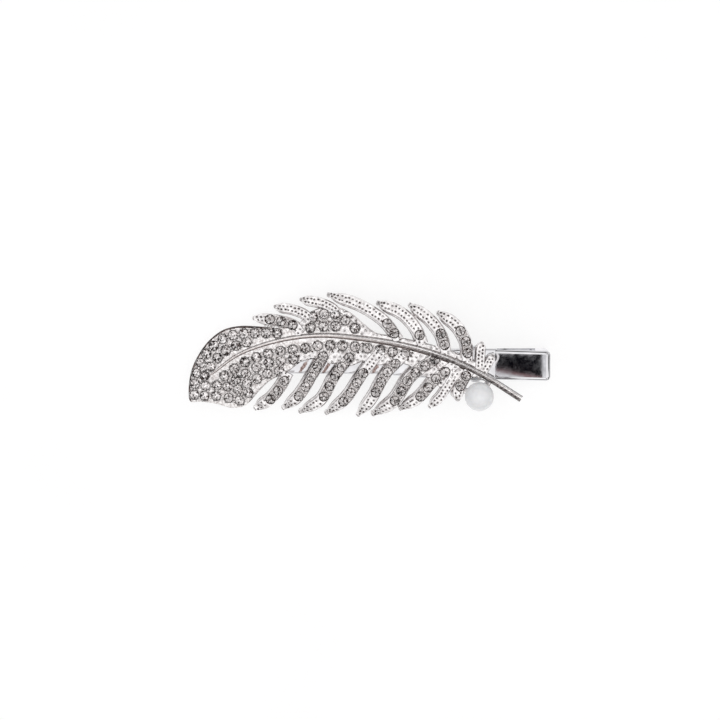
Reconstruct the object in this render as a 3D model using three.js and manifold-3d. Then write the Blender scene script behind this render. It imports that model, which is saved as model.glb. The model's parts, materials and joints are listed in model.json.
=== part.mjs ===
// A rhinestone hair clip: a cast, plated feather set with glass stones and one pearl, fixed on the upper
// arm of a sprung alligator clip. Millimetres, +Z up. The clip lies feather up on its lower arm, the
// feather's tip points to -X and the finger levers to +X. The origin is the middle of the underside.
import * as THREE from "three";
import { mergeVertices } from "three/addons/utils/BufferGeometryUtils.js";
import Module from "manifold-3d";

const wasm = await Module();
wasm.setup();

// ---------- driving dimensions ----------
const STONE_R = 0.85; // glass stone, girdle radius
const STONE_PITCH = 2.45; // distance between stones along a barb
const STONE_SIDES = 6;
const STONE_Z = { culet: 0.85, girdle: 1.45, table: 1.8 };
const TABLE_SHARE = 0.6; // table radius over girdle radius
const BED = { width: 1.0, low: 0.8, high: 1.08 }; // adhesive strip that the stones of one row share
const CHANNEL = { width: 1.88, floor: 0.55, past: 0.95 }; // slot that a row of stones is set in

const WEB_T = 1.4; // thickness of the casting's plate
const WEB_BEVEL = 0.3;
const BARB_W = 2.3; // barb width at its middle, without its plain flank
const BARB_H = 1.6;
const CROWN_R = 70; // radius that the feather is bent to across its width
const CROWN_Y = 0.8; // where the crown's top lies
const QUILL = { sides: 10, centreZ: 1.45, tipR: 0.17, midR: 0.47, stemR: 0.58, flat: 1.25, flank: 0.7 };

const SHEET = 0.6; // sheet metal of the clip's arms
const JAW_TIP_X = -17.5;
const LEVER_END_X = 37.6;
const PIN = { x: 22.5, z: 0.75, r: 0.6, bore: 0.66, headR: 1.05, headT: 0.45, headGap: 0.05 };
const EAR_R = 1.45;
const TOP = { jawW: 4.3, earW: 6.7, leverW: 6.2, faceAtPin: 2.95, slope: 1.9, leverX: 26.9, lever: 14 };
const BOTTOM = { jawW: 4.3, earW: 5.2, leverW: 6.2, faceAtPin: -1.4, slope: 0, leverX: 25, lever: -9.7 };
const FLARE = { from: 2, to: 19 }; // where the arms widen from the jaws to the ears
const CORNER = { jaw: 1, lever: 0.8, cut: 0.3 }; // rounded corners in plan, and how far in their middles lie
const LEVER_ROOT = 1.2; // how far the lever's plate runs into the arm
const ARM_DEPTH = 6; // of the block that an arm is cut from
const EDGE_R = 0.7; // bend radius of the folded sheet edges
const CLIP_Y = -0.4; // the clip's centre line
const TEETH = { from: -16.6, pitch: 1.3, depth: 0.55, count: 9, gap: 0.12 };
const LEVER_FLANGE = 1.0;

const SPRING = { wire: 0.3, coilR: 1.1, turns: 3.5, halfW: 1.5, legX: 30.5, upperZ: 2.95, lowerZ: -1.3 };
const FEATHER_LIFT = 0.6; // from the upper arm's face to the casting's underside
const PADS = { r: 1.3, low: -0.52, high: -0.2 }; // solder between the upper arm and the casting
const PAD_AT = { front: [-10.3, 0.6], middle: [1.5, 0.9], rear: [15.5, -1] };
const STRAP = { width: 1.3, low: -0.8, high: 0.15, path: [[19.4, -5.4], [23.3, -6.65], [27.4, -4.6]] };
const PEARL = { x: 23.3, y: -6.65, z: 3.0, r: 3.0, holeR: 0.55, holeTop: 2.2 };
const PEG = { r: 0.45, top: 1.9, cupR: 1.5, low: -0.18, high: 0.3, dishR: 3.05 };

const RAD = Math.PI / 180;

// ---------- solids ----------
function solid(geometry) {
  const bare = geometry.clone();
  bare.deleteAttribute("normal");
  bare.deleteAttribute("uv");
  const merged = mergeVertices(bare, 1e-4);
  const corners = Array.from(merged.index.array);
  const triVerts = [];
  for (let i = 0; i < corners.length; i += 3) {
    const [a, b, c] = corners.slice(i, i + 3);
    if (a !== b && b !== c && c !== a) triVerts.push(a, b, c);
  }
  return new wasm.Manifold(
    new wasm.Mesh({
      numProp: 3,
      vertProperties: merged.attributes.position.array,
      triVerts: new Uint32Array(triVerts),
    }),
  );
}

function geometryOf(body) {
  const mesh = body.getMesh();
  const geometry = new THREE.BufferGeometry();
  geometry.setAttribute("position", new THREE.BufferAttribute(mesh.vertProperties, 3));
  geometry.setIndex(new THREE.BufferAttribute(mesh.triVerts, 1));
  return geometry;
}

const join = (bodies) => bodies.reduce((all, one) => all.add(one));

// A box between two corners.
function block(low, high) {
  const size = high.map((v, i) => v - low[i]);
  const box = new THREE.BoxGeometry(...size);
  return solid(box.translate(...high.map((v, i) => (v + low[i]) / 2)));
}

// A round bar along Y.
function barY(x, z, r, y0, y1, sides = 20) {
  const bar = new THREE.CylinderGeometry(r, r, y1 - y0, sides);
  return solid(bar.translate(x, (y0 + y1) / 2, z));
}

// An outline in the XZ plane, extruded along Y.
function sidePlate(points, y0, y1) {
  const shape = new THREE.Shape(points.map(([x, z]) => new THREE.Vector2(x, z)));
  const plate = new THREE.ExtrudeGeometry(shape, { depth: y1 - y0, bevelEnabled: false });
  return solid(plate.rotateX(Math.PI / 2).translate(0, y1, 0));
}

// ---------- the feather's plan ----------
const curveThrough = (points) =>
  new THREE.CatmullRomCurve3(points.map(([x, y]) => new THREE.Vector3(x, y, 0)));

// The quill runs from its sharp end in the vane to the cut stem.
const QUILL_PATH = [
  [-32.7, -2.7], [-26.6, 1.7], [-18.3, 4.6], [-10, 5.7], [-1.7, 5.15],
  [6.7, 3.85], [15, 1.55], [23.3, -2.1], [31.8, -7.4],
];

// Outline of the plate: the closed vane at the tip, then the web that carries the barbs' roots.
const VANE_EDGE = [
  [-24.5, -8.3], [-25.8, -9.3], [-28.3, -9.7], [-31.4, -8.9], [-34.9, -8.4], [-37, -8.4],
  [-37.4, -6.4], [-36.7, -1.9], [-35.15, 1.5], [-32.9, 4.5], [-29.95, 6.7], [-26.6, 7.5], [-22, 7.4],
];
const WEB_TOP = [
  [-17.5, 7.2], [-14, 8.4], [-12.3, 10.2], [-9.5, 11.4], [-6, 11.5], [-3.2, 10.2], [-0.8, 8.2],
  [1.8, 6.3], [5, 5.7], [10, 4.7], [15, 3.4], [20, 1.6], [24, -0.7],
];
const WEB_BOTTOM = [
  [25.6, -4], [22.4, -2.9], [19.4, -3.4], [17.2, -4], [15, -5], [13.9, -3.4], [12.4, -2.9],
  [10.5, -1.7], [8.3, -0.4], [5.4, 0.3], [2.7, -0.5], [-0.4, 0.3], [-3.7, -0.7], [-5.3, 0.2],
  [-7.3, -0.3], [-10.2, 0.7], [-13.5, 0.2], [-16.4, -1.9], [-20.2, -3.85], [-22.5, -6],
];

// Each barb runs from its root at the quill to its tip. stones: how many, first: where the first one is.
const BARBS = [
  { name: "l1", path: [[-16.4, -2.2], [-17.6, -4.6], [-20.2, -7.8], [-23.8, -10]], first: 1.8, stones: 3 },
  { name: "l2", path: [[-8.6, 2.2], [-11.2, -2.4], [-14.4, -7.3], [-17.9, -9.9]], first: 1, stones: 5 },
  { name: "l3", path: [[-3, 1.9], [-6.7, -2.9], [-9.7, -8], [-14.4, -10.6]], first: 1, stones: 5 },
  { name: "l4", path: [[3, 2.6], [-0.8, -2.2], [-4.6, -7.8], [-8.9, -10.9]], first: 6, stones: 4 },
  { name: "l5", path: [[7.7, 1.7], [4, -2.3], [0.9, -7.7], [-2.2, -11.3]], first: 2.5, stones: 4 },
  { name: "l6", path: [[14.6, 1.2], [9.2, -2.7], [5.5, -8.1], [0.8, -11]], first: 0.6, stones: 6, w: 2.6 },
  { name: "l7", path: [[18.6, 0], [14.2, -3.3], [10.6, -7.4], [6.5, -9.8]], first: 2.9, stones: 4 },
  { name: "l8", path: [[18.7, -1.5], [16.8, -4.6], [15.2, -7.1], [12.7, -9.4]], w: 1.9 },
  { name: "l9", path: [[21.4, -1.2], [20.1, -3.3], [19, -5.6], [18.8, -8]], first: 1.6, stones: 2 },
  { name: "u1", path: [[-13.6, 5.9], [-15.2, 7.7], [-19.2, 8.8], [-24, 9.2]], first: 2.7, stones: 3 },
  { name: "u2", path: [[-11.6, 8.8], [-13, 10.1], [-15.6, 11.1], [-19.6, 11.6]], w: 1.9 },
  { name: "u3", path: [[-6, 10.2], [-7.4, 11.5], [-10.2, 12.6], [-14.2, 13.1]], w: 1.9 },
  { name: "u4", path: [[6.6, 4.9], [3.8, 8.6], [-1.6, 12.1], [-8.5, 14.2]], first: 1.6, stones: 2, w: 2.2 },
  { name: "u5", path: [[11.6, 4], [10.4, 6.9], [7.2, 10.4], [1.8, 12.6]], first: 2, stones: 1 },
  { name: "u6", path: [[16.4, 2.2], [15.6, 5.6], [12.9, 9.2], [8.5, 12.3]], first: 1.7, stones: 2 },
  { name: "u7", path: [[20.8, 0.6], [20.6, 4.2], [18.4, 8], [14.4, 10.7]], first: 1.6, stones: 3 },
  { name: "u8", path: [[23.3, -1.2], [23.5, 1], [23.6, 2.8], [23.8, 4.6]], w: 1.9 },
  { name: "u9", path: [[24, -1.8], [24.9, -0.4], [25.6, 0.9], [26.2, 2.1]], w: 1.7 },
];

// Rows of stones on the plate: a path with a count, or the stones' own centres.
const ROWS = [
  { name: "vane_edge", count: 12,
    path: [[-36.1, -6.9], [-35.6, -2.6], [-33.4, 1.8], [-29.5, 5.1], [-24.5, 6], [-18.7, 6.1]] },
  { name: "vane_upper", count: 6, path: [[-33.9, -2.9], [-32, -0.2], [-29.2, 2.6], [-25, 4.2]] },
  { name: "quill_side", count: 16,
    path: [[-29.7, -2.9], [-25.2, 0.1], [-19.3, 2.1], [-14.1, 2.8], [-9, 3.6], [-3.1, 3.4], [3.1, 2.7],
      [7.9, 1.9]] },
  { name: "vane_middle",
    stones: [[-33.7, -5], [-31.3, -4.9], [-29.1, -5.1], [-27.3, -3.6], [-25.2, -2.4], [-23, -1], [-20.4, 0],
      [-17.9, 0.4], [-15.3, 0.7]] },
  { name: "vane_lower",
    stones: [[-34, -7.1], [-31.5, -7.1], [-28.9, -7.5], [-26.9, -5.7], [-25, -4.4], [-22.9, -3.4],
      [-20.7, -2.3], [-18.2, -1.8]] },
  { name: "vane_bottom", stones: [[-26.6, -8], [-24.8, -6.4]] },
  { name: "cluster_inner", stones: [[-11.7, 7.2], [-9, 7.5], [-6.5, 7.6]] },
  { name: "cluster_outer", stones: [[-11.2, 9.4], [-8.9, 10.1], [-6.6, 10.1], [-4.5, 8.8], [-2.5, 7.2]] },
];

// Lays a section along a path in the plan. The section's x is scaled by half the width and its y by the
// height, both given as functions of the share of the length.
function ridge(points, section, width, height, steps) {
  const curve = curveThrough(points);
  const outline = new THREE.Shape(section.map(([x, y]) => new THREE.Vector2(x, y)));
  const strip = new THREE.ExtrudeGeometry(outline, { depth: 1, steps, bevelEnabled: false });
  const place = strip.attributes.position;
  for (let i = 0; i < place.count; i++) {
    const share = place.getZ(i);
    const across = (place.getX(i) * width(share)) / 2;
    const at = curve.getPointAt(share);
    const along = curve.getTangentAt(share);
    place.setXYZ(i, at.x - along.y * across, at.y + along.x * across, place.getY(i) * height(share));
  }
  return solid(strip);
}

const constant = (value) => () => value;
// Half widths across, heights up: a broad top with a plain sloping flank on one side (1 left, -1 right).
const FLANK = 1.42;
const barbSection = (flank) =>
  [[-1, 0], [FLANK, 0], [FLANK, 0.38], [0.84, 1], [-0.84, 1], [-1, 0.8]].map(([x, y]) => [x * flank, y]);
const stripSection = (low, high) => [[-1, low], [1, low], [1, high], [-1, high]];

// A barb is full width over most of its length and runs out to a narrow, lower tip.
const TAPER_FROM = 0.7;
const TIP_SHARE = 0.42; // of the barb's width, left at its tip
const taper = (share, least) => {
  const past = Math.max(0, (share - TAPER_FROM) / (1 - TAPER_FROM));
  return Math.max(least, 1 - past ** 2.6);
};
const barbWidth = (barb) => (share) => (barb.w ?? BARB_W) * taper(share, TIP_SHARE);
const barbHeight = (share) => BARB_H * (1 - 0.3 * (1 - taper(share, 0)));

function barbSolid(barb) {
  return ridge(barb.path, barbSection(barb.name.startsWith("u") ? 1 : -1), barbWidth(barb), barbHeight, 7);
}

// The quill: a round rod that swells from its tip to the stem, drawn out on one side into a low flank.
function quillSolid() {
  const curve = curveThrough(QUILL_PATH);
  const circle = new THREE.Shape().absarc(0, 0, 1, 0, 2 * Math.PI);
  const outline = circle.getPoints(QUILL.sides / 2).slice(0, -1);
  const radius = (share) => (share < 0.5
    ? THREE.MathUtils.lerp(QUILL.tipR, QUILL.midR, Math.sqrt(share / 0.5))
    : THREE.MathUtils.lerp(QUILL.midR, QUILL.stemR, (share - 0.5) / 0.5));
  const rod = new THREE.ExtrudeGeometry(new THREE.Shape(outline), {
    depth: 1,
    steps: 26,
    bevelEnabled: false,
  });
  const place = rod.attributes.position;
  for (let i = 0; i < place.count; i++) {
    const share = place.getZ(i);
    const r = radius(share);
    const at = curve.getPointAt(share);
    const along = curve.getTangentAt(share);
    const side = place.getX(i);
    const across = side * r * (side > 0 ? 1 + QUILL.flank * share : 1);
    const up = QUILL.centreZ + place.getY(i) * r * QUILL.flat;
    place.setXYZ(i, at.x - along.y * across, at.y + along.x * across, up);
  }
  return solid(rod);
}

function plateSolid() {
  const outline = new THREE.Shape(
    [...VANE_EDGE, ...WEB_TOP, ...WEB_BOTTOM].map(([x, y]) => new THREE.Vector2(x, y)),
  );
  const plate = new THREE.ExtrudeGeometry(outline, {
    depth: WEB_T - WEB_BEVEL,
    bevelThickness: WEB_BEVEL,
    bevelSize: WEB_BEVEL,
    bevelOffset: -WEB_BEVEL,
    bevelSegments: 1,
  });
  const body = solid(plate);
  return body.subtract(block([-60, -60, -5], [60, 60, 0]));
}

// Bends a feather piece to the crown across its width.
function crowned(geometry) {
  const place = geometry.attributes.position;
  for (let i = 0; i < place.count; i++) {
    const off = place.getY(i) - CROWN_Y;
    place.setZ(i, place.getZ(i) - off ** 2 / (2 * CROWN_R));
  }
  return geometry;
}

// ---------- rows of stones ----------
// The centres of a row's stones, from its list, its count along a path or a barb's pitch.
function centresOf(row) {
  if (Array.isArray(row.stones)) return row.stones;
  const curve = curveThrough(row.path);
  const length = curve.getLength();
  const share = row.count ? (i) => i / (row.count - 1) : (i) => (row.first + i * STONE_PITCH) / length;
  return Array.from({ length: row.count ?? row.stones }, (_, i) => {
    const at = curve.getPointAt(Math.min(1, share(i)));
    return [at.x, at.y];
  });
}

// A straight run past both ends of a row, so that a channel clears its last stones.
function lengthened(centres, by) {
  const out = (from, to) => {
    const far = Math.hypot(to[0] - from[0], to[1] - from[1]);
    return [to[0] + ((to[0] - from[0]) * by) / far, to[1] + ((to[1] - from[1]) * by) / far];
  };
  if (centres.length === 1) {
    const [[x, y]] = centres;
    return [[x - by, y], [x + by, y]];
  }
  const last = centres.length - 1;
  return [out(centres[1], centres[0]), ...centres, out(centres[last - 1], centres[last])];
}

function channelSolid(centres) {
  const section = stripSection(CHANNEL.floor, 4);
  const route = lengthened(centres, CHANNEL.past);
  return ridge(route, section, constant(CHANNEL.width), constant(1), centres.length + 2);
}

function stoneSolid([x, y]) {
  const { culet, girdle, table } = STONE_Z;
  const profile = [[0, culet], [STONE_R, girdle], [STONE_R * TABLE_SHARE, table], [0, table]];
  const stone = new THREE.LatheGeometry(profile.map((p) => new THREE.Vector2(...p)), STONE_SIDES);
  return solid(stone.rotateX(Math.PI / 2).translate(x, y, 0));
}

function rowSolid(centres) {
  const stones = join(centres.map(stoneSolid));
  if (centres.length === 1) return stones;
  const section = stripSection(BED.low, BED.high);
  const bed = ridge(centres, section, constant(BED.width), constant(1), centres.length);
  return stones.add(bed);
}

function castingSolid() {
  const ridges = BARBS.map(barbSolid);
  const strap = ridge(STRAP.path, stripSection(STRAP.low, STRAP.high), constant(STRAP.width), constant(1), 8);
  const metal = join([plateSolid(), quillSolid(), strap, ...ridges]);
  return metal.subtract(join(stoneRows.map(({ centres }) => channelSolid(centres))));
}

// ---------- pearl ----------
function pearlSolid() {
  const ball = solid(new THREE.SphereGeometry(PEARL.r, 24, 16).rotateX(Math.PI / 2));
  const depth = PEARL.holeTop + PEARL.r;
  const bore = new THREE.CylinderGeometry(PEARL.holeR, PEARL.holeR, depth, 12).rotateX(Math.PI / 2);
  return ball.subtract(solid(bore.translate(0, 0, PEARL.holeTop - PEARL.z - depth / 2)));
}

function pearlCupSolid() {
  const cup = new THREE.CylinderGeometry(PEG.cupR, PEG.cupR, PEG.high - PEG.low, 20).rotateX(Math.PI / 2);
  const dish = new THREE.SphereGeometry(PEG.dishR, 32, 24).rotateX(Math.PI / 2).translate(0, 0, PEARL.z);
  const peg = new THREE.CylinderGeometry(PEG.r, PEG.r, PEG.top - PEG.low, 10).rotateX(Math.PI / 2);
  const dished = solid(cup.translate(0, 0, (PEG.high + PEG.low) / 2)).subtract(solid(dish));
  return dished.add(solid(peg.translate(0, 0, (PEG.top + PEG.low) / 2)));
}

// ---------- the clip's arms ----------
// Half of an arm's outline in plan, from the jaw's tip to past the lever's start, drawn in by inset.
function jawPlan(arm, inset) {
  const jaw = arm.jawW / 2 - inset;
  const ear = arm.earW / 2 - inset;
  const tip = JAW_TIP_X + inset;
  const cut = CORNER.cut * CORNER.jaw;
  return [
    [tip, jaw - CORNER.jaw], [tip + cut, jaw - cut], [tip + CORNER.jaw, jaw], [FLARE.from, jaw],
    [FLARE.to, ear], [arm.leverX, ear],
  ];
}

function leverPlan(arm, inset) {
  const half = arm.leverW / 2 - inset;
  const end = (LEVER_END_X - arm.leverX) / Math.cos(arm.lever * RAD) - inset;
  const cut = CORNER.cut * CORNER.lever;
  return [
    [-LEVER_ROOT, half], [end - CORNER.lever, half], [end - cut, half - cut], [end, half - CORNER.lever],
  ];
}

const mirroredPlan = (half) => [...half, ...half.toReversed().map(([x, y]) => [x, -y])];

// A block with a rounded rim on its face at z = 0, reaching down by depth.
function rimmedBlock(half, depth, edge) {
  const outline = new THREE.Shape(mirroredPlan(half).map(([x, y]) => new THREE.Vector2(x, y)));
  const body = new THREE.ExtrudeGeometry(outline, {
    depth: depth - edge,
    bevelEnabled: edge > 0,
    bevelThickness: edge,
    bevelSize: edge,
    bevelOffset: -edge,
    bevelSegments: 3,
  });
  return body.translate(0, 0, -depth);
}

// The height of an arm's outer face at x.
const faceAt = (arm, x) => {
  const jaw = (to) => arm.faceAtPin + (to - PIN.x) * Math.tan(arm.slope * RAD);
  if (x <= arm.leverX) return jaw(x);
  return jaw(arm.leverX) + (x - arm.leverX) * Math.tan(arm.lever * RAD);
};

// One arm: a channel folded from sheet, open on the side that faces the other arm. up is 1 for the
// upper arm, whose face is on top, and -1 for the lower one. profile bounds its folded sides.
function armSolid(arm, up, profile) {
  const place = (body, x, z, angle) => {
    if (up < 0) body.rotateX(Math.PI);
    return solid(body.rotateY(-angle * RAD).translate(x, CLIP_Y, z));
  };
  const jaw = (inset, edge) =>
    place(rimmedBlock(jawPlan(arm, inset), ARM_DEPTH, edge), 0, faceAt(arm, 0) - up * inset, arm.slope);
  const lever = (inset, edge) => {
    const face = faceAt(arm, arm.leverX) - up * inset;
    return place(rimmedBlock(leverPlan(arm, inset), ARM_DEPTH, edge), arm.leverX, face, arm.lever);
  };
  const outer = jaw(0, EDGE_R).add(lever(0, EDGE_R));
  const inner = jaw(SHEET, 0).add(lever(SHEET, 0));
  const sides = sidePlate(profile, CLIP_Y - arm.earW, CLIP_Y + arm.earW);
  const bore = barY(PIN.x, PIN.z, PIN.bore, CLIP_Y - arm.earW, CLIP_Y + arm.earW);
  return outer.subtract(inner).intersect(sides).subtract(bore);
}

// The meeting line of the two arms, from the tip back to the ears: teeth, then straight.
function meetingLine(z) {
  const line = [[JAW_TIP_X - 1, z], [TEETH.from, z]];
  for (let i = 0; i < TEETH.count; i++) {
    const x = TEETH.from + i * TEETH.pitch;
    line.push([x + TEETH.pitch / 2, z - TEETH.depth], [x + TEETH.pitch, z]);
  }
  return line;
}

// Half a turn of the ear's rim around the pin, above it (side 1) or below it (side -1).
function earRim(side) {
  const steps = 8;
  return Array.from({ length: steps + 1 }, (_, i) => {
    const turn = Math.PI * (1 - i / steps);
    return [PIN.x + EAR_R * Math.cos(turn), PIN.z + side * EAR_R * Math.sin(turn)];
  });
}

function armProfile(arm, side) {
  const far = LEVER_END_X + 1;
  const edge = (x) => [x, faceAt(arm, x) - side * LEVER_FLANGE];
  const beyond = side * 2 * ARM_DEPTH;
  return [
    ...meetingLine((side * TEETH.gap) / 2),
    [PIN.x - EAR_R, (side * TEETH.gap) / 2],
    ...earRim(-side),
    edge(PIN.x + EAR_R),
    edge(arm.leverX),
    edge(far),
    [far, beyond],
    [JAW_TIP_X - 1, beyond],
  ];
}

function pinSolid() {
  const halfShank = TOP.earW / 2 + PIN.headGap;
  const profile = [
    [0, -halfShank - PIN.headT], [0.6 * PIN.headR, -halfShank - PIN.headT],
    [PIN.headR, -halfShank - 0.4 * PIN.headT], [PIN.headR, -halfShank], [PIN.r, -halfShank],
    [PIN.r, halfShank], [PIN.headR, halfShank], [PIN.headR, halfShank + 0.4 * PIN.headT],
    [0.6 * PIN.headR, halfShank + PIN.headT], [0, halfShank + PIN.headT],
  ];
  const pin = new THREE.LatheGeometry(profile.map((p) => new THREE.Vector2(...p)), 20);
  return solid(pin.translate(PIN.x, CLIP_Y, PIN.z));
}

// The torsion spring: its coil turns round the pin, and its legs press the two levers apart.
function springSolid() {
  const perTurn = 10;
  const count = SPRING.turns * perTurn;
  const coil = Array.from({ length: count + 1 }, (_, i) => {
    const turn = Math.PI / 2 + (2 * Math.PI * i) / perTurn;
    const y = CLIP_Y + SPRING.halfW * (1 - (2 * i) / count);
    return new THREE.Vector3(
      PIN.x + SPRING.coilR * Math.cos(turn), y, PIN.z + SPRING.coilR * Math.sin(turn),
    );
  });
  const leg = (from, z) => [0.35, 1].map((t) => new THREE.Vector3(
    THREE.MathUtils.lerp(from.x, SPRING.legX, t), from.y, THREE.MathUtils.lerp(from.z, z, t ** 3),
  ));
  const upper = leg(coil[0], SPRING.upperZ).reverse();
  const lower = leg(coil[count], SPRING.lowerZ);
  const wire = Array.from({ length: 6 }, (_, i) => new THREE.Vector2(
    SPRING.wire * Math.cos((i * Math.PI) / 3), SPRING.wire * Math.sin((i * Math.PI) / 3),
  ));
  return solid(new THREE.ExtrudeGeometry(new THREE.Shape(wire), {
    steps: 60,
    extrudePath: new THREE.CatmullRomCurve3([...upper, ...coil, ...lower]),
  }));
}

function padSolid([x, y]) {
  const { r, low, high } = PADS;
  const profile = [[0, low], [r, low], [0.94 * r, (low + high) / 2], [0.8 * r, high], [0, high]];
  const pad = new THREE.LatheGeometry(profile.map((p) => new THREE.Vector2(...p)), 14);
  return solid(pad.rotateX(Math.PI / 2).translate(x, y, 0));
}

// ---------- assembly ----------
const stoneRows = [
  ...ROWS,
  ...BARBS.filter((barb) => barb.stones).map((barb) => ({ ...barb, name: `barb_${barb.name}` })),
].map((row) => ({ name: `stones_${row.name}`, centres: centresOf(row) }));

const plating = new THREE.MeshStandardMaterial({ color: 0xe4e0e0, metalness: 1, roughness: 0.16 });
const polished = new THREE.MeshStandardMaterial({ color: 0xdedee2, metalness: 1, roughness: 0.06 });
const springSteel = new THREE.MeshStandardMaterial({ color: 0xa9abb0, metalness: 1, roughness: 0.3 });
const solder = new THREE.MeshStandardMaterial({ color: 0x9fa0a2, metalness: 0.9, roughness: 0.45 });
const crystal = new THREE.MeshStandardMaterial({ color: 0xcfc9cc, metalness: 0, roughness: 0.03 });
const nacre = new THREE.MeshStandardMaterial({ color: 0xf0f1f1, metalness: 0, roughness: 0.25 });

function mesh(name, body, material, shape = geometryOf) {
  const node = new THREE.Mesh(shape(body), material);
  node.name = name;
  return node;
}

const bent = (body) => crowned(geometryOf(body));

// The feather's own frame lies on the upper arm's sloping face.
const feather = new THREE.Group();
feather.position.x = -PIN.x;
feather.add(mesh("feather_casting", castingSolid(), plating, bent));
for (const { name, centres } of stoneRows) feather.add(mesh(name, rowSolid(centres), crystal, bent));
for (const [name, at] of Object.entries(PAD_AT)) {
  feather.add(mesh(`solder_pad_${name}`, padSolid(at), solder));
}
const pearl = mesh("pearl", pearlSolid(), nacre);
pearl.position.set(PEARL.x, PEARL.y, PEARL.z);
const pearlCup = mesh("pearl_cup", pearlCupSolid(), plating);
pearlCup.position.set(PEARL.x, PEARL.y, 0);
feather.add(pearl, pearlCup);

const featherSeat = new THREE.Group();
featherSeat.position.set(PIN.x, 0, TOP.faceAtPin + FEATHER_LIFT);
featherSeat.rotation.y = -TOP.slope * RAD;
featherSeat.add(feather);

const clip = new THREE.Group();
clip.add(
  mesh("top_arm", armSolid(TOP, 1, armProfile(TOP, 1)), polished),
  mesh("bottom_arm", armSolid(BOTTOM, -1, armProfile(BOTTOM, -1)), polished),
  mesh("hinge_pin", pinSolid(), polished),
  mesh("torsion_spring", springSolid(), springSteel),
  featherSeat,
);

// The clip rests on the tip of its lower jaw and the end of its lower lever.
const leverDrop = BOTTOM.faceAtPin - faceAt(BOTTOM, LEVER_END_X);
clip.rotation.y = -Math.atan2(leverDrop, LEVER_END_X - JAW_TIP_X);

const part = new THREE.Group();
part.add(clip);
const box = new THREE.Box3().setFromObject(part, true);
const middle = box.getCenter(new THREE.Vector3());
clip.position.set(-middle.x, -middle.y, -box.min.z);
part.updateMatrixWorld(true);

export default part;
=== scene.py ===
"""The looks of a rhinestone hair clip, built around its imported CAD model.

Lengths are metres. The feather is drawn in its own plan, in millimetres (x towards the stem, y up, z out of
its face), and to_part() bends it to its crown and carries it into the part's frame. The clip's spring and
rivet are drawn in millimetres about the hinge.
"""
import json
import math

import bmesh
import bpy
import numpy as np
from mathutils import Matrix, Vector
from mathutils.geometry import delaunay_2d_cdt


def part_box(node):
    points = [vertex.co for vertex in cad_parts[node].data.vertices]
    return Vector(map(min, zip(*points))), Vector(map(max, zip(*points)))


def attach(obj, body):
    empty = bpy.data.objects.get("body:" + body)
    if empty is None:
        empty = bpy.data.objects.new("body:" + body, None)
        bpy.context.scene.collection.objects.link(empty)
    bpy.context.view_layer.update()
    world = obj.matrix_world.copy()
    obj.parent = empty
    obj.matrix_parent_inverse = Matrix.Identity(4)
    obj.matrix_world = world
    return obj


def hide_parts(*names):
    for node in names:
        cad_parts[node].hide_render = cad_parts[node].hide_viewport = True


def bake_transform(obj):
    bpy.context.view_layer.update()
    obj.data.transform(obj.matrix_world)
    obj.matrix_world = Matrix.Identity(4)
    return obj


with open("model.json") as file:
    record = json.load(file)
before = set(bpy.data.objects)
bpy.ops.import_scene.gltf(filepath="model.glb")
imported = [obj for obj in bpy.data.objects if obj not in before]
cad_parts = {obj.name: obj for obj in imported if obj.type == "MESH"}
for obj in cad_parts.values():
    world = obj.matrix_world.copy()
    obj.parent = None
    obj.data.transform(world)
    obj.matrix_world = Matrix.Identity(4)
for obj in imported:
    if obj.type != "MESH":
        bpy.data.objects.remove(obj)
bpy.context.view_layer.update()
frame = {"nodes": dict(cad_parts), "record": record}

MM = 0.001
RECORD = frame["record"]
MOUNTS = {mount["name"]: mount for mount in RECORD["mounts"]}
JOINT = RECORD["behaviour"]["joints"][0]
dice = np.random.default_rng(7)

# ---------- the feather's frame ----------
TABLE_TILT = math.asin(MOUNTS["lower_arm_back"]["axis"][0])  # how the clip lies on its lower arm
FEATHER_TILT = TABLE_TILT + math.radians(1.9)  # the upper arm's face slopes against the lower arm
CROWN_R = 70.0
CROWN_Y = 0.8
PEARL = Vector((23.3, -6.65, 3.0))
PEARL_R = 2.99

pearl_low, pearl_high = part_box("pearl")
pearl_middle = (pearl_low + pearl_high) / 2
pearl_middle.z = pearl_high.z - PEARL_R * MM
PLAN_TO_PART = (
    Matrix.Translation(pearl_middle)
    @ Matrix.Rotation(-FEATHER_TILT, 4, "Y")
    @ Matrix.Scale(MM, 4)
    @ Matrix.Translation(-PEARL)
)
PART_TO_PLAN = PLAN_TO_PART.inverted()
HINGE_TO_PART = (
    Matrix.Translation(Vector(JOINT["pos_m"]))
    @ Matrix.Rotation(-TABLE_TILT, 4, "Y")
    @ Matrix.Scale(MM, 4)
)

# The quill runs from its sharp end in the vane to the cut stem.
QUILL_PATH = [
    [-32.7, -2.7], [-26.6, 1.7], [-18.3, 4.6], [-10, 5.7], [-1.7, 5.15],
    [6.7, 3.85], [15, 1.55], [23.3, -2.1], [31.8, -7.4],
]
QUILL = {"centre_z": 1.45, "tip": 0.12, "middle": 0.39, "stem": 0.54, "flat": 1.3, "flank": 0.7}
QUILL_SIDES = 24
SMOOTH_FLANK = 0.42  # past this share of the quill's half width, on the upper side, its skin is smooth
CREVICE = {"above": 0.22, "below": 0.52, "end": 0.84}  # reaches in radii of the quill, end as a share of it

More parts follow.
